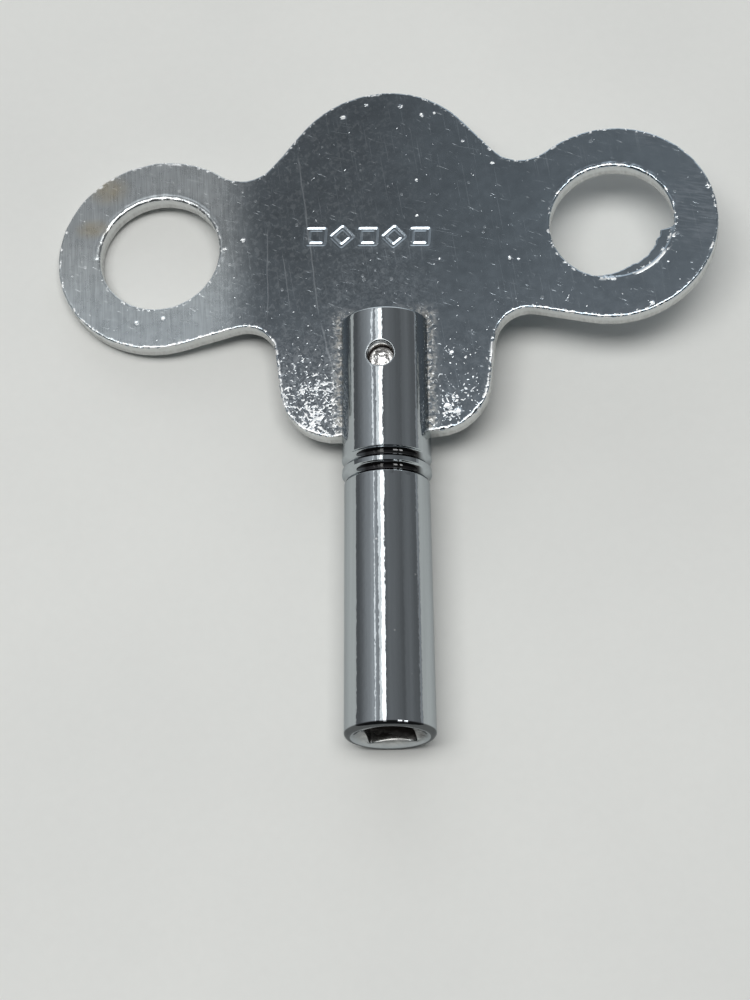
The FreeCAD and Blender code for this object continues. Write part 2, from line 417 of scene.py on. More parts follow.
def mark_strokes():
    """A plain row of stamped outlines on the plate: squares and lozenges by turns."""
    strokes = []
    pitch = 2.42
    for place in range(-2, 3):
        upright = place % 2 == 1
        turn, reach = (0.0, 0.95) if upright else (math.pi / 4, 1.05)
        angles = [turn + k * math.pi / 2 for k in range(4)]
        ends = [(place * pitch + reach * math.cos(a), reach * math.sin(a)) for a in angles]
        strokes += list(zip(ends, ends[1:] + ends[:1]))
    lean = math.radians(-4.5)
    spin = np.array([[math.cos(lean), math.sin(lean)], [-math.sin(lean), math.cos(lean)]])
    middle = np.array([-1.4, 47.7])
    return [(np.array(a) @ spin + middle, np.array(b) @ spin + middle) for a, b in strokes]


def stroke_distance(points, a, b):
    along = b - a
    share = np.clip((points - a) @ along / (along @ along), 0, 1)
    return np.linalg.norm(points - a - share[:, None] * along, axis=1)


# Small dents on the face: place, radius and depth in millimetres.
DENTS = (
    (-3.6, 60.5, 0.42, 0.06), (-1.4, 61.6, 0.28, 0.05), (1.8, 61.2, 0.34, 0.06),
    (3.8, 60.1, 0.30, 0.05), (5.0, 60.2, 0.22, 0.04), (7.6, 57.0, 0.26, 0.04),
    (3.2, 53.2, 0.24, 0.03), (3.2, 49.5, 0.22, 0.03), (10.3, 54.4, 0.26, 0.04),
    (-13.1, 48.3, 0.32, 0.05), (-14.8, 47.5, 0.28, 0.05), (-23.0, 40.5, 0.30, 0.07),
    (-20.5, 40.8, 0.28, 0.07), (29.9, 50.3, 0.34, 0.07), (26.9, 47.3, 0.26, 0.05),
    (24.3, 38.9, 0.38, 0.07), (25.5, 44.3, 0.24, 0.04), (25.9, 42.9, 0.22, 0.04),
    (6.1, 35.4, 0.30, 0.06), (5.2, 44.9, 0.24, 0.03), (11.6, 44.5, 0.26, 0.04),
    (12.4, 44.3, 0.24, 0.04), (6.6, 29.6, 0.50, 0.08), (5.6, 30.2, 0.40, 0.06),
)


def face_relief(points, strokes):
    """Height of the plate's upper face above flat: ripple, dents, stamped row, burrs and torn flap."""
    height = 0.010 * wobble(points, 0.13, 1.0) + 0.0016 * wobble(points, 0.7, 5.0)
    for x, y, radius, depth in DENTS:
        gap = np.linalg.norm(points - (x, y), axis=1) / (0.55 * radius)
        height -= 0.6 * depth * np.exp(-gap ** 2)
    nearest = np.min([stroke_distance(points, a, b) for a, b in strokes], axis=0)
    height -= 0.055 * (1 - smooth_step((nearest - 0.05) / 0.18))
    height += 0.012 * np.exp(-((nearest - 0.30) / 0.10) ** 2)
    radius, angle = polar(points, LEFT)
    lip = np.exp(-((radius - 5.98) / 0.20) ** 2)
    lip = lip * smooth_step((angle + 25) / 30) * smooth_step((200 - angle) / 40)
    height += 0.085 * lip * (1 + 0.7 * wobble(points, 1.5, 2.0))
    radius, angle = polar(points, RIGHT)
    lip = np.exp(-((radius - 5.90) / 0.16) ** 2)
    lip = lip * smooth_step((angle - 5) / 15) * smooth_step((150 - angle) / 30)
    height += 0.05 * lip * (1 + 1.2 * wobble(points, 2.3, 4.0))
    flap = smooth_step((CRACK + 0.10 - radius) / 0.16) * (flap_reach(angle) > 0.02)
    height -= 0.15 * flap
    away = np.maximum(np.abs(points[:, 0]) - BAR, points[:, 1] - LENGTH)
    return height * smooth_step(away / 0.4)


def back_relief(points):
    """The same for the lower face, which is flat apart from ripple and the thin torn flap."""
    height = 0.008 * wobble(points, 0.2, 11.0)
    radius, angle = polar(points, RIGHT)
    flap = smooth_step((CRACK - 0.02 - radius) / 0.10) * (flap_reach(angle) > 0.02)
    away = np.maximum(np.abs(points[:, 0]) - BAR, points[:, 1] - LENGTH)
    return (height + 0.95 * flap) * smooth_step(away / 0.4)


def edge_rings(loop, roll, wear):
    """Rows of points that lead from the cut edge over its rounded rim onto the face."""
    ahead = np.roll(loop, -1, 0) - np.roll(loop, 1, 0)
    ahead /= np.linalg.norm(ahead, axis=1)[:, None]
    inward = np.c_[-ahead[:, 1], ahead[:, 0]]
    low = np.clip((40.0 - loop[:, 1]) / 8.0, 0, 1)
    beads = wobble(loop, 0.9, 21.0) + 0.8 * wobble(loop, 2.6, 33.0)
    size = roll * (1 + wear * (0.45 + 0.8 * low) * beads)
    size = np.clip(size, 0.05, 0.5)
    if wear == 0:
        size = np.full(len(loop), roll)
    rings = []
    for turn in np.radians((0, 22.5, 45, 67.5, 90)):
        shift = size * (1 - math.cos(turn))
        rings.append((loop + inward * shift[:, None], size * (1 - math.sin(turn))))
    for extra in (0.10, 0.26):
        rings.append((loop + inward * (size + extra)[:, None], np.zeros(len(loop))))
    return rings, inward


def hex_grid(low, high, spacing):
    rows = np.arange(low[1], high[1], spacing * math.sqrt(0.75))
    parts = []
    for number, y in enumerate(rows):
        x = np.arange(low[0] + spacing / 2 * (number % 2), high[0], spacing)
        parts.append(np.c_[x, np.full(len(x), y)])
    return np.concatenate(parts)


def distance_to(points, targets):
    tree = kdtree.KDTree(len(targets))
    for i, (x, y) in enumerate(targets):
        tree.insert((x, y, 0), i)
    tree.balance()
    return np.array([tree.find((x, y, 0))[2] for x, y in points])


def face_points(loops, strokes):
    """Points for the open face: an even grid, closer round the dents, the stamped row and the flap."""
    grid = hex_grid(plate_low[:2], plate_high[:2], 0.36)
    near_mark = hex_grid((-8.2, 45.6), (5.4, 49.8), 0.105)
    near = np.min([stroke_distance(near_mark, a, b) for a, b in strokes], axis=0) < 0.5
    parts = [near_mark[near]]
    for x, y, radius, _ in DENTS:
        patch = hex_grid((x - 2 * radius, y - 2 * radius), (x + 2 * radius, y + 2 * radius), radius / 5)
        parts.append(patch[np.linalg.norm(patch - (x, y), axis=1) < 1.5 * radius])
    sweep = np.radians(np.arange(-112, -7, 1.3))
    for radius in (5.44, 5.50, 5.56, 5.62, 5.68, 5.74, 5.82):
        parts.append(RIGHT + radius * np.c_[np.cos(sweep), np.sin(sweep)])
    for centre, span, radii in ((LEFT, (-25, 200), (6.15, 6.3, 6.45)), (RIGHT, (5, 150), (6.1, 6.25))):
        sweep = np.radians(np.arange(*span, 1.4))
        for radius in radii:
            parts.append(centre + radius * np.c_[np.cos(sweep), np.sin(sweep)])
    fine = np.concatenate(parts)
    grid = grid[distance_to(grid, fine) > 0.2]
    every = np.concatenate([fine, grid])
    keep = inside(every, loops[0])
    for loop in loops[1:]:
        keep &= ~inside(every, loop)
    every = every[keep]
    return every[distance_to(every, np.concatenate(loops)) > 0.50]


def make_plate():
    """The stamped sheet. Its upper rim is drawn down by the die and its cut walls are a little torn."""
    outer, *holes, pin_hole = loops_at("wing_plate", SHEET)
    left, right = sorted(holes, key=lambda loop: loop[:, 0].mean())
    loops = [even_loop(outer, 0.13), even_loop(left, 0.13), with_flap(even_loop(right, 0.13)),
             even_loop(pin_hole, 0.16)]
    strokes = mark_strokes()
    finish = ((EDGE_ROLL, 1), (HOLE_ROLL, 1), (HOLE_ROLL, 1), (0.01, 0))
    flat, drops, edges, rims = [], [], [], []
    total = 0
    for loop, (roll, wear) in zip(loops, finish):
        rings, inward = edge_rings(loop, roll, wear)
        if wear == 0:
            rings = rings[:1] + rings[-1:]
        count = len(loop)
        rims.append((total, count, inward))
        edges += [(total + i, total + (i + 1) % count) for i in range(count)]
        for points, drop in rings:
            flat.append(points)
            drops.append(drop)
            total += count
    inner = face_points(loops, strokes)
    flat = np.concatenate(flat + [inner])
    drops = np.concatenate(drops + [np.zeros(len(inner))])
    spots, _, triangles, source, _, _ = geometry.delaunay_2d_cdt(
        [Vector(p) for p in flat], edges, [], 1, 1e-5)
    first = [ids[0] if ids else -1 for ids in source]
    spots = np.clip([tuple(p) for p in spots], plate_low[:2], plate_high[:2])
    drop = np.array([drops[i] if i >= 0 else 0.0 for i in first])
    triangles = np.array([t for t in triangles if len(t) == 3])
    middle = spots[triangles].mean(1)
    solid = np.ones(len(triangles), bool)
    for loop in loops[1:]:
        solid &= ~inside(middle, loop)
    triangles = triangles[solid]
    where = {}
    for new, ids in enumerate(source):
        for old in ids:
            where[old] = new

    skin = Skin()
    top = skin.row(np.c_[spots, SHEET - drop + face_relief(spots, strokes)])
    low = skin.row(np.c_[spots, -SHEET + 0.35 * drop + back_relief(spots)])
    for a, b, c in triangles:
        skin.faces.append((top[a], top[b], top[c]))
        skin.faces.append((low[c], low[b], low[a]))
    skin.walls_from = len(skin.faces)
    for start, count, inward in rims:
        rim = [where[start + i] for i in range(count)]
        here = spots[rim]
        upper = np.array([skin.points[top[i]][2] for i in rim])
        lower = np.array([skin.points[low[i]][2] for i in rim])
        torn = np.abs(wobble(here, 1.1, 41.0)) + 0.6 * np.abs(wobble(here, 3.1, 43.0))
        previous = [top[i] for i in rim]
        plain = count < 60 or abs(here[:, 0]).max() < 2
        for share in () if plain else (0.12, 0.3, 0.5, 0.62, 0.8, 0.93):
            rough = 0.01 + 0.07 * torn * smooth_step((share - 0.35) / 0.3)
            row = skin.row(np.c_[here + inward * rough[:, None], upper + (lower - upper) * share])
            skin.bridge(previous, row)
            previous = row
        skin.bridge(previous, [low[i] for i in rim])
    return skin.build("key_plate", 40)


# ---------- materials ----------

def node(tree, kind, inputs=(), **settings):
    made = tree.nodes.new(kind)
    for key, value in settings.items():
        setattr(made, key, value)
    for key, value in dict(inputs).items():
        if isinstance(value, bpy.types.NodeSocket):
            tree.links.new(value, made.inputs[key])
        else:
            made.inputs[key].default_value = value
    return made


class Paint:
    """The nodes of one material. Places and sizes are in millimetres in the part's frame."""

    def __init__(self, name):
        self.material = bpy.data.materials.new(name)
        self.material.use_nodes = True
        self.tree = self.material.node_tree
        self.shader = self.tree.nodes["Principled BSDF"]
        self.shader.inputs["Metallic"].default_value = 1.0
        place = node(self.tree, "ShaderNodeTexCoord").outputs["Object"]
        scaled = node(self.tree, "ShaderNodeVectorMath", {0: place, "Scale": 1 / MM}, operation="SCALE")
        self.mm = scaled.outputs[0]
        self.x, self.y, self.z = node(self.tree, "ShaderNodeSeparateXYZ", {0: self.mm}).outputs

    def math(self, operation, one, two=0.0, three=0.0):
        made = node(self.tree, "ShaderNodeMath", {0: one, 1: two, 2: three}, operation=operation)
        return made.outputs[0]

    def vector(self, operation, one, two):
        made = node(self.tree, "ShaderNodeVectorMath", {0: one, 1: two}, operation=operation)
        return made.outputs["Value" if operation == "DOT_PRODUCT" else "Vector"]

    def product(self, first, *others):
        for other in others:
            first = self.math("MULTIPLY", first, other)
        return first

    def most(self, first, *others):
        for other in others:
            first = self.math("MAXIMUM", first, other)
        return first

    def step(self, value, low, high):
        """0 below low, 1 above high, smooth between. With low above high it falls instead."""
        out = (0.0, 1.0)
        if low > high:
            low, high, out = high, low, (1.0, 0.0)
        return node(self.tree, "ShaderNodeMapRange", {0: value, 1: low, 2: high, 3: out[0], 4: out[1]},
                    interpolation_type="SMOOTHSTEP").outputs[0]

    def grain(self, size, detail=2.0, turn=0.0, seed=0.0, twist=0.0):
        """Noise with cells of the given size, one number or one for each axis, turned about Z."""
        size = size if isinstance(size, tuple) else (size, size, size)
        spot = node(self.tree, "ShaderNodeMapping", {0: self.mm, 1: (seed, seed * 1.7, seed * 0.3),
                    2: (0, 0, math.radians(turn)), 3: size}, vector_type="TEXTURE").outputs[0]
        return node(self.tree, "ShaderNodeTexNoise", {"Vector": spot, "Scale": 1.0, "Detail": detail,
                    "Distortion": twist}).outputs[0]

    def specks(self, spacing, size, seed=0.0):
        """Small round spots, one to a cell, of which about half are left out."""
        spot = node(self.tree, "ShaderNodeMapping", {0: self.mm, 1: (seed, seed * 1.3, 0)}).outputs[0]
        cells = node(self.tree, "ShaderNodeTexVoronoi", {"Vector": spot, "Scale": 1 / spacing})
        chance = node(self.tree, "ShaderNodeSeparateColor", {0: cells.outputs["Color"]}).outputs[0]
        reach = self.math("MULTIPLY", self.step(chance, 0.5, 1.0), size / spacing)
        return self.math("GREATER_THAN", reach, cells.outputs["Distance"])

    def length(self, one, two):
        """Length of a run with these two parts, square to each other."""
        return self.math("SQRT", self.math("ADD", self.product(one, one), self.product(two, two)))

    def reach(self, x, y, stretch=1.0):
        """Distance from a point on the face, with the Y part divided by stretch."""
        along = self.math("DIVIDE", self.math("SUBTRACT", self.y, y), stretch)
        return self.length(self.math("SUBTRACT", self.x, x), along)

    def near(self, x, y, radius, soft, stretch=1.0):
        """1 within radius of a point on the face, falling to 0 over soft."""
        return self.step(self.reach(x, y, stretch), radius + soft, radius)

    def line(self, start, end, width):
        """1 on a straight scratch between two points on the face."""
        a = Vector((*start, 0))
        run = Vector((*end, 0)) - a
        way = run.normalized()
        offset = self.vector("SUBTRACT", self.mm, a)
        along = self.vector("DOT_PRODUCT", offset, way)
        side = self.vector("DOT_PRODUCT", offset, (-way.y, way.x, 0))
        waver = self.math("MULTIPLY_ADD", self.grain((0.5, 2.5, 1), 1, 0, 3), 0.30, -0.15)
        thin = self.step(self.math("ABSOLUTE", self.math("ADD", side, waver)), width, width * 0.3)
        return self.product(thin, self.step(along, 0, 1.5), self.step(along, run.length, run.length - 1.5))

    def crease_highlight(self):
        """1 along the fold where the torn flap leaves the right ring, for a painted highlight there."""
        fold = self.math("ABSOLUTE", self.math("SUBTRACT", self.reach(RING_X, RING_Y), CRACK + 0.20))
        middle = math.radians(-53)
        x = RING_X + CRACK * math.cos(middle)
        y = RING_Y + CRACK * math.sin(middle)
        return self.product(self.step(fold, 0.15, 0.06), self.near(x, y, 1.5, 0.5))

    def mix(self, share, one, two):
        def socket(value):
            return value if isinstance(value, bpy.types.NodeSocket) else (*value, 1.0)
        return node(self.tree, "ShaderNodeMix", {0: share, 6: socket(one), 7: socket(two)},
                    data_type="RGBA").outputs[2]

    def shade(self, colour, amount):
        """The colour made lighter or darker by an amount about 1."""
        made = node(self.tree, "ShaderNodeVectorMath", {0: colour, "Scale": amount}, operation="SCALE")
        return made.outputs[0]

    def bump(self, height, depth):
        settings = {"Strength": 1.0, "Distance": depth * MM, "Height": height}
        made = node(self.tree, "ShaderNodeBump", settings)
        self.tree.links.new(made.outputs[0], self.shader.inputs["Normal"])

    def finish(self, colour, roughness):
        self.tree.links.new(colour, self.shader.inputs["Base Color"])
        self.tree.links.new(roughness, self.shader.inputs["Roughness"])
        return self.material


def worn_chips(p, lobe_left, foot, frost):
    """Light chips in the plating: thick on the left lobe, thinner on the rest of the foot."""
    low = p.step(p.y, 36.5, 31.0)
    corner = p.near(6.0, 30.2, 0.6, 1.6)
    patch = p.step(p.grain(1.5, 3, seed=12), 0.30, 0.66)
    wear = p.product(lobe_left, p.math("MULTIPLY_ADD", low, 0.42, 0.58))
    wear = p.most(wear, p.product(foot, 0.45), p.product(corner, 1.1), p.product(frost, 0.7))
    wear = p.product(wear, p.math("MULTIPLY_ADD", patch, 0.55, 0.50))
    chips = p.most(p.grain((0.19, 0.50, 1), 1, 35, 2), p.grain((0.19, 0.50, 1), 1, -50, 8),
                   p.grain((0.20, 0.44, 1), 1, 85, 12))
    chips = p.step(p.math("MULTIPLY_ADD", wear, 0.24, chips), 0.795, 0.855)
    return p.product(chips, p.math("ADD", p.grain(0.5, 1, seed=18), 0.35))


def scratch_marks(p):
    """A few long scratches, short dashes and hairs in several directions, dust and faint flecks."""
    flecks = p.step(p.grain(0.42, 2, seed=15, twist=0.8), 0.50, 0.66)
    flecks = p.product(flecks, p.step(p.x, 8.0, -4.0), p.step(p.x, -18.0, -13.0))
    dashes = p.step(p.grain((0.13, 1.3, 1), 1, 62, 7), 0.70, 0.80)
    ticks = p.step(p.grain((0.11, 0.9, 1), 1, 20, 9), 0.71, 0.80)
    hairs = p.step(p.grain((0.07, 6.0, 1), 1, 8, 11), 0.68, 0.78)
    cross = p.step(p.grain((0.08, 4.0, 1), 1, 74, 13), 0.70, 0.80)
    dust = p.specks(1.25, 0.17, 3)
    long = p.most(
        p.line((-8.0, 57.4), (-5.9, 39.5), 0.09),
        p.line((-5.9, 39.8), (-4.4, 33.0), 0.10),
        p.line((-10.8, 50.0), (-10.7, 39.6), 0.07),
        p.line((-9.4, 47.2), (-8.6, 40.2), 0.05),
    )
    return p.most(
        p.product(long, 0.20), p.product(hairs, 0.14), p.product(cross, 0.16), p.product(dashes, 0.30),
        p.product(ticks, 0.22), p.product(dust, 0.22), p.product(flecks, 0.10),
    )


def rim_and_dent_glints(p):
    """Painted glints: bright nicks along the rims, lowest down the most, and broken glints in the dents.
    """
    rim = node(p.tree, "ShaderNodeAttribute", attribute_name="rim").outputs["Fac"]
    glint_pattern = p.math("MULTIPLY_ADD", p.step(p.y, 41.0, 36.0), 0.10, p.grain(0.42, 2, seed=31))
    rim_glints = p.product(p.step(rim, 0.15, 0.7), p.step(glint_pattern, 0.54, 0.64))
    dent = node(p.tree, "ShaderNodeAttribute", attribute_name="dent").outputs["Fac"]
    broken = p.math("MULTIPLY_ADD", p.grain((0.30, 0.15, 1), 1, 14, 37), 2.6, -0.75)
    dent = p.product(p.step(p.product(dent, broken), 0.26, 0.44), p.step(p.z, 0.0, 0.2))
    return p.most(rim_glints, p.product(dent, 0.9))


def face_colour(p, left, foot, lobe_left, frost, brushed):
    """Slate grey, brushed on the left ring and paler there as a painted reflection, with its mottle,
    sheen, rust and stains.
    """
    streaks = p.math("MULTIPLY_ADD", left, -0.33, 1.0)
    streaks = p.math("MULTIPLY_ADD", p.product(brushed, left), 0.85, streaks)
    tone = p.product(p.math("MULTIPLY_ADD", p.grain(7.0, 2, seed=1), 0.30, 0.85), streaks)
    dark = p.mix(p.step(p.x, -9.0, 17.0), (0.283, 0.322, 0.352), (0.405, 0.478, 0.535))
    # The paler tone of the left ring is a painted reflection of brighter light.
    pale_reflection = p.mix(p.step(p.y, 50.0, 41.0), (0.48, 0.508, 0.515), (0.64, 0.685, 0.690))
    slate = p.shade(p.mix(left, dark, pale_reflection), tone)
    colour = p.mix(p.product(p.step(p.y, 49.0, 38.0), 0.40), slate, (0.44, 0.505, 0.565))
    mottle = p.step(p.grain(0.34, 2, seed=41, twist=1.0), 0.42, 0.60)
    above = p.near(-0.5, 41.5, 3.0, 4.5)
    mottled = p.most(p.product(lobe_left, 0.72), p.product(foot, 0.20), p.product(above, 0.20))
    colour = p.mix(p.product(mottle, mottled), colour, (0.80, 0.86, 0.91))
    sheen = p.most(p.near(25.4, 56.0, 0.8, 2.6, 0.55), p.near(28.6, 48.4, 0.9, 2.2, 1.9))
    sheen = p.product(sheen, p.step(p.grain((1.9, 0.24, 1), 2, -14, 33), 0.40, 0.66))
    colour = p.mix(p.product(sheen, 0.55), colour, (0.66, 0.73, 0.80))
    rust = p.step(p.grain(0.24, 2, seed=27), 0.42, 0.60)
    rust = p.mix(rust, (0.15, 0.135, 0.11), (0.52, 0.49, 0.43))
    colour = p.mix(p.product(frost, 0.75), colour, rust)
    stain = p.most(p.near(-26.0, 54.6, 0.5, 2.0, 0.8), p.near(-27.4, 50.6, 0.4, 1.8, 0.6))
    stain = p.product(stain, p.math("MULTIPLY_ADD", p.grain(0.8, 3, seed=6), 0.8, 0.4))
    return p.mix(p.product(stain, 0.65), colour, (0.58, 0.50, 0.34))


def plated_face():
    """Old bright plating on the wings: brushed at the left, worn and pitted round the barrel."""
    p = Paint("plated_face")
    left = p.step(p.x, -10.5, -16.5)
    foot = p.step(p.y, 43.5, 31.5)
    lobe_left = p.product(foot, p.step(p.x, -3.0, -5.0), p.step(p.y, 42, 36))
    frost = p.product(p.step(p.math("ABSOLUTE", p.x), 5.3, 4.0), p.step(p.y, 40.9, 39.2))
    frost = p.product(frost, p.step(p.grain(0.45, 3, seed=4), 0.34, 0.56))
    brushed = p.grain((0.11, 3.2, 1), 2, 2, 5)
    # Light marks: real chips and scratches, with painted glints on the rims, dents and the flap's fold.
    light = p.most(worn_chips(p, lobe_left, foot, frost), scratch_marks(p),
                   rim_and_dent_glints(p), p.crease_highlight())
    colour = face_colour(p, left, foot, lobe_left, frost, brushed)
    colour = p.mix(light, colour, (0.93, 0.94, 0.93))

    rough = p.math("MULTIPLY_ADD", left, 0.09, 0.15)
    rough = p.math("ADD", rough, p.product(frost, 0.16))
    rough = p.math("ADD", rough, p.product(light, 0.24))
    rough = p.math("MULTIPLY_ADD", p.grain(0.8, 3, seed=17), 0.08, rough)

    height = p.math("MULTIPLY_ADD", light, 0.5, p.product(frost, p.grain(0.25, 3, seed=19), 0.6))
    height = p.math("MULTIPLY_ADD", p.product(brushed, left), 0.5, height)
    height = p.math("MULTIPLY_ADD", p.grain(0.9, 3, seed=23), 0.25, height)
    p.bump(height, 0.02)
    return p.finish(colour, rough)


def cut_wall():
    """Plating over the sheared walls of the sheet: satin, with upright tear lines low down."""
    p = Paint("cut_wall")
    tears = p.grain((0.25, 0.25, 1.2), 3, seed=2)
    low = p.step(p.z, 0.2, -0.35)
    colour = p.mix(p.product(tears, low), (0.66, 0.675, 0.67), (0.44, 0.44, 0.43))
    rough = p.math("MULTIPLY_ADD", tears, 0.25, 0.26)
    p.bump(p.math("MULTIPLY_ADD", tears, low, p.product(p.grain(0.5, 2, seed=7), 0.4)), 0.05)
    return p.finish(colour, rough)


def painted_barrel_shade(p, radius):
    """Painted dark reflections round the mouth's rim and in the upper side of both grooves, and painted
    shade in the cross hole.
    """
    rim = p.product(p.step(radius, 3.44, 3.50), p.step(p.y, 0.44, 0.30))
    upper = p.product(p.step(p.x, -2.3, -1.3), p.step(p.x, 3.5, 3.0), p.step(p.z, 0.0, 0.5))
    edge = p.math("MULTIPLY_ADD", p.grain(0.7, 2, seed=21), 0.16, radius)
    groove = p.product(p.step(edge, 3.90, 3.84), p.step(p.y, 22.7, 23.0), p.step(p.y, 26.2, 25.9), upper)
    bore = p.product(p.near(0.0, PIN_Y, 1.19, 0.03), p.step(radius, 3.94, 3.88))
    return p.most(p.product(rim, 0.80), p.product(groove, 0.97), p.product(bore, 0.95))


def turned_chrome():
    """Bright chrome on the barrel, drawn out along its length, duller in its hollows, with painted shade
    and painted dark reflections there.
    """
    p = Paint("turned_chrome")
    p.shader.inputs["Specular Tint"].default_value = (0.60, 0.61, 0.62, 1.0)
    radius = p.length(p.x, p.z)
    within = p.product(p.step(radius, 3.5, 3.2), p.step(p.y, 0.0, 0.5))
    ragged = p.math("MULTIPLY_ADD", p.grain(0.9, 2, seed=14), 0.8, p.math("MULTIPLY_ADD", p.x, 0.20, p.y))
    deep_shade = p.product(p.step(radius, 3.3, 3.1), p.step(ragged, 0.9, 1.7))
    drawn = p.grain((0.35, 14.0, 0.35), 3, seed=2)
    specks = p.specks(1.6, 0.10, 2)
    bright = p.mix(p.product(specks, 0.5), (0.497, 0.535, 0.556), (0.9, 0.9, 0.9))
    colour = p.shade(bright, p.math("MULTIPLY_ADD", drawn, 0.24, 0.88))
    # Painted dark reflections on the rim and grooves and painted shade in the cross hole.
    colour = p.mix(painted_barrel_shade(p, radius), colour, (0.035, 0.034, 0.034))
    dish = p.mix(p.step(p.grain(0.7, 3, seed=11), 0.38, 0.60), (0.40, 0.40, 0.39), (0.60, 0.60, 0.585))
    colour = p.mix(within, colour, dish)
    # Painted shade deep inside the square socket.
    colour = p.mix(deep_shade, colour, (0.10, 0.09, 0.085))

    rough = p.math("MULTIPLY_ADD", p.grain(1.6, 4, seed=5), 0.05, 0.035)
    rough = p.math("ADD", rough, p.product(within, 0.14))
    rough = p.math("ADD", rough, p.product(deep_shade, 0.30))
    rough = p.math("ADD", rough, p.product(specks, 0.2))
    ripple = p.math("MULTIPLY_ADD", p.grain((0.8, 0.9, 0.8), 2, seed=9), 0.6, p.product(drawn, 0.25))
    ripple = p.math("MULTIPLY_ADD", p.grain((0.3, 0.42, 0.3), 1, seed=25), 0.20, ripple)
    p.bump(ripple, 0.018)
    return p.finish(colour, rough)


def pin_end():
    """The pin's hammered ends: pale, mottled and a little dull."""
    p = Paint("pin_steel")
    dapple = p.grain(0.34, 3, seed=3, twist=0.6)
    colour = p.mix(p.step(dapple, 0.34, 0.54), (0.62, 0.61, 0.59), (0.98, 0.98, 0.96))
    rough = p.math("MULTIPLY_ADD", dapple, -0.15, 0.50)
    p.bump(dapple, 0.03)
    return p.finish(colour, rough)


def table_top():
    """A pale, smooth board with a faint mottle and a few worn sheens."""
    p = Paint("table_top")
    cloud = p.grain(34.0, 3, seed=5)
    speckle = p.grain(0.9, 3, seed=8)
    tone = p.math("MULTIPLY_ADD", cloud, 0.10, 0.93)
    tone = p.math("MULTIPLY_ADD", speckle, 0.035, tone)
    colour = p.shade(p.mix(p.step(cloud, 0.3, 0.7), (0.765, 0.772, 0.742), (0.780, 0.786, 0.754)), tone)
    p.shader.inputs["Metallic"].default_value = 0.0
    p.shader.inputs["Specular IOR Level"].default_value = 0.25
    rough = p.math("MULTIPLY_ADD", cloud, 0.2, 0.5)
    p.bump(speckle, 0.01)
    return p.finish(colour, rough)


# ---------- floor, light and camera ----------

def add(name, data):
    thing = bpy.data.objects.new(name, data)
    bpy.context.scene.collection.objects.link(thing)
    return thing


def make_floor():
    """The board that the key lies on, leaning so that it bears on the barrel and the left ring."""
    lean, drop, reach = math.radians(6.0), -4.022, 900
    corners = []
    for across, along in ((-1, -1), (1, -1), (1, 1), (-1, 1)):
        run = across * reach
        x, y, z = run * math.cos(lean), along * reach, drop - run * math.sin(lean)
        corners.append((x * MM, y * MM, z * MM))
    mesh = bpy.data.meshes.new("floor")
    mesh.from_pydata(corners, [], [(0, 1, 2, 3)])
    floor = add("floor", mesh)
    mesh.materials.append(table_top())
    return floor


def toward(side_deg, along):
    """The direction that leans side_deg from +Z towards +X and rises by along towards +Y."""
    side = math.radians(side_deg)
    flat = math.sqrt(1 - along * along)
    return Vector((math.sin(side) * flat, along, math.cos(side) * flat))


def soft_light(name, direction, size, radiance, lights, colour=(1.0, 1.0, 1.0)):
    """A flat lamp a metre from the key, facing it, that lights one group of things."""
    lamp = bpy.data.lights.new(name, "AREA")
    lamp.shape = "RECTANGLE"
    lamp.size, lamp.size_y = size
    lamp.energy = radiance * math.pi * size[0] * size[1]
    lamp.color = colour
    thing = add(name, lamp)
    upright = (Vector((0, 1, 0)) - direction * direction.y).normalized()
    thing.matrix_world = Matrix((upright.cross(direction), upright, direction)).transposed().to_4x4()
    thing.location = direction + Vector((0, 0.03, 0))
    thing.light_linking.receiver_collection = lights


def light_group(name, *things):
    """A collection of the things that a lamp lights."""
    group = bpy.data.collections.new(name)
    for thing in things:
        group.objects.link(thing)
    return group


def fill_ramp(ramp, stops, span):
    """Set a ramp's slightly blue grey levels at places from -span / 2 to span / 2."""
    elements = ramp.color_ramp.elements
    while len(elements) < len(stops):
        elements.new(0.5)
    for element, (place, level) in zip(elements, stops):
        element.position = place / span + 0.5
        element.color = (level, level * 1.03, level * 1.07, 1.0)


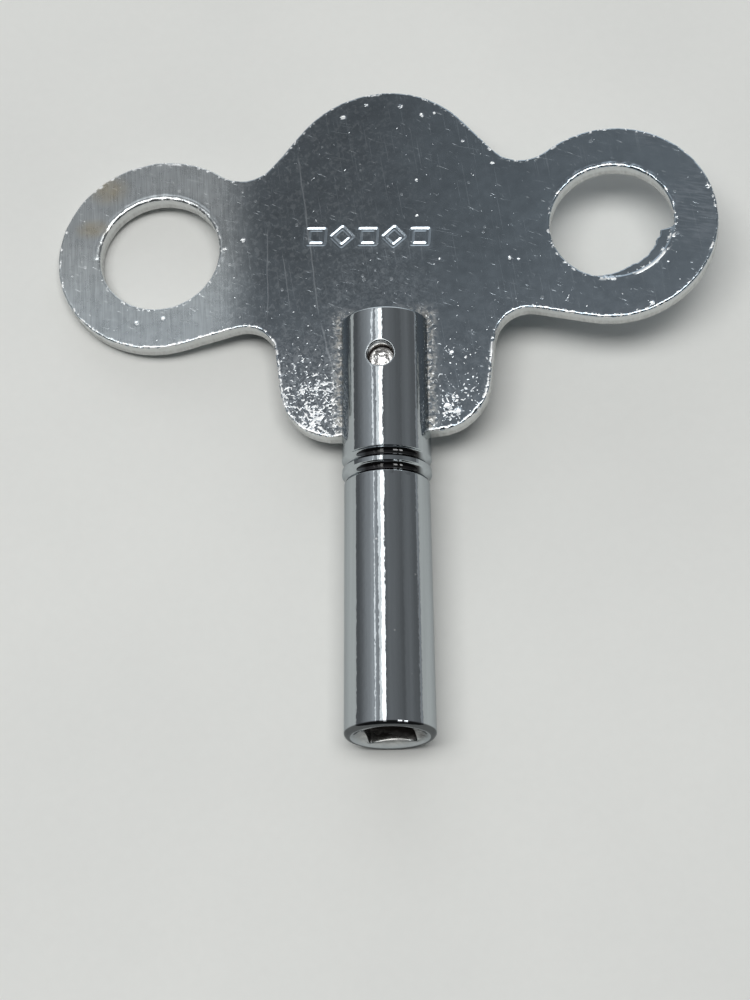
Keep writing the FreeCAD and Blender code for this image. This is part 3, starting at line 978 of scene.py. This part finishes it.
def make_room():
    """Grey bands overhead between a dark front and a pale back, for the polished metal to mirror."""
    room = bpy.data.worlds.new("room")
    bpy.context.scene.world = room
    room.use_nodes = True
    tree = room.node_tree
    tree.nodes.clear()
    way = node(tree, "ShaderNodeTexCoord").outputs["Generated"]
    x, y, z = node(tree, "ShaderNodeSeparateXYZ", {0: way}).outputs
    side = node(tree, "ShaderNodeMath", {0: x, 1: z}, operation="ARCTAN2").outputs[0]
    share = node(tree, "ShaderNodeMath", {0: side, 1: 1 / math.pi, 2: 0.5}, operation="MULTIPLY_ADD")
    band = node(tree, "ShaderNodeValToRGB", {0: share.outputs[0]})
    stops = ((-92, 0.13), (-76, 0.11), (-66, 0.16), (-50, 0.29), (-40, 0.34), (-34, 0.44), (-25, 0.40),
             (-17, 0.26), (-13, 0.165), (-10, 0.115), (-7, 0.11), (-3, 0.14), (8, 0.20), (26, 0.165),
             (36, 0.145), (44, 0.125), (50, 0.165), (64, 0.19), (76, 0.14), (88, 0.13), (95, 0.30))
    fill_ramp(band, stops, 180.0)
    off = node(tree, "ShaderNodeMath", {0: y, 1: 0.40}, operation="SUBTRACT").outputs[0]
    off = node(tree, "ShaderNodeMath", {0: off}, operation="ABSOLUTE").outputs[0]
    wall = node(tree, "ShaderNodeMapRange", {0: off, 1: 0.24, 2: 0.52}, interpolation_type="SMOOTHSTEP")
    height = node(tree, "ShaderNodeMath", {0: y, 1: 0.5, 2: 0.5}, operation="MULTIPLY_ADD").outputs[0]
    walls = node(tree, "ShaderNodeValToRGB", {0: height})
    stops = ((-1.0, 0.05), (-0.30, 0.035), (0.0, 0.12), (0.16, 0.40), (0.62, 1.10), (1.0, 1.0))
    fill_ramp(walls, stops, 2.0)
    colour = node(tree, "ShaderNodeMix", {0: wall.outputs[0], 6: band.outputs[0], 7: walls.outputs[0]},
                  data_type="RGBA").outputs[2]
    glow = node(tree, "ShaderNodeBackground", {0: colour, 1: 1.12}).outputs[0]
    node(tree, "ShaderNodeOutputWorld", {0: glow})


def make_camera():
    """Looks down on the key from in front of its mouth and a little to the right."""
    lens = bpy.data.cameras.new("camera")
    lens.lens = 90.84
    camera = add("camera", lens)
    place = Vector((26.743, -60.495, 206.191))
    ahead = (Vector((-1.106, 21.892, 0.0)) - place).normalized()
    up = (Vector((0, 1, 0)) - ahead * ahead.y).normalized()
    turn = Matrix((ahead.cross(up), up, -ahead)).transposed()
    roll = Matrix.Rotation(math.radians(0.619), 3, ahead)
    camera.matrix_world = (roll @ turn).to_4x4()
    camera.location = place * MM
    bpy.context.scene.camera = camera


# ---------- the key ----------

def mark_glint_places(piece):
    """Store how near each point of the plate is to a cut edge and to a dent, for the painted glints there.
    """
    count = len(piece.data.vertices)
    spots = np.empty(count * 3)
    piece.data.vertices.foreach_get("co", spots)
    spots = spots.reshape(-1, 3)[:, :2] / MM
    outer, *holes = loops_at("wing_plate", SHEET)
    edges = np.concatenate([even_loop(loop, 0.2) for loop in (outer, *holes[:2])])
    near = np.exp(-(distance_to(spots, edges) / 0.30) ** 2)
    layer = piece.data.attributes.new("rim", "FLOAT", "POINT")
    layer.data.foreach_set("value", near.astype(np.float32))
    gaps = [np.linalg.norm(spots - (x, y), axis=1) / (0.7 * radius) for x, y, radius, _ in DENTS]
    layer = piece.data.attributes.new("dent", "FLOAT", "POINT")
    layer.data.foreach_set("value", np.exp(-np.min(gaps, axis=0) ** 2).astype(np.float32))


def dress(piece, stands_for, *materials):
    for material in materials:
        piece.data.materials.append(material)
    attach(piece, "root")
    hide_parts(stands_for)


plate = make_plate()
mark_glint_places(plate)
dress(plate, "wing_plate", plated_face(), cut_wall())
barrel = make_barrel()
dress(barrel, "barrel", turned_chrome())
pin = make_pin()
dress(pin, "retaining_pin", pin_end())

floor = make_floor()
make_room()
turned = light_group("lit_by_strips", barrel, pin)
others = light_group("lit_by_ceiling", plate, pin, floor)
soft_light("ceiling_lamp", toward(1.0, -0.03), (0.95, 0.42), 6.0, others)
soft_light("strip_lamp", toward(-6.6, 0.05), (0.15, 1.30), 2.6, turned, colour=(1.0, 0.995, 0.975))
soft_light("strip_glow", toward(-14.6, 0.20), (0.12, 0.90), 0.95, turned)
soft_light("far_tube", toward(-28.4, 0.20), (0.04, 0.90), 1.0, turned)
soft_light("near_spot", toward(31.0, -0.20), (0.18, 0.50), 6.0, turned)
soft_light("side_spot", toward(47.0, -0.20), (0.12, 0.50), 7.0, turned)
make_camera()
bpy.context.scene.view_settings.view_transform = "Standard"
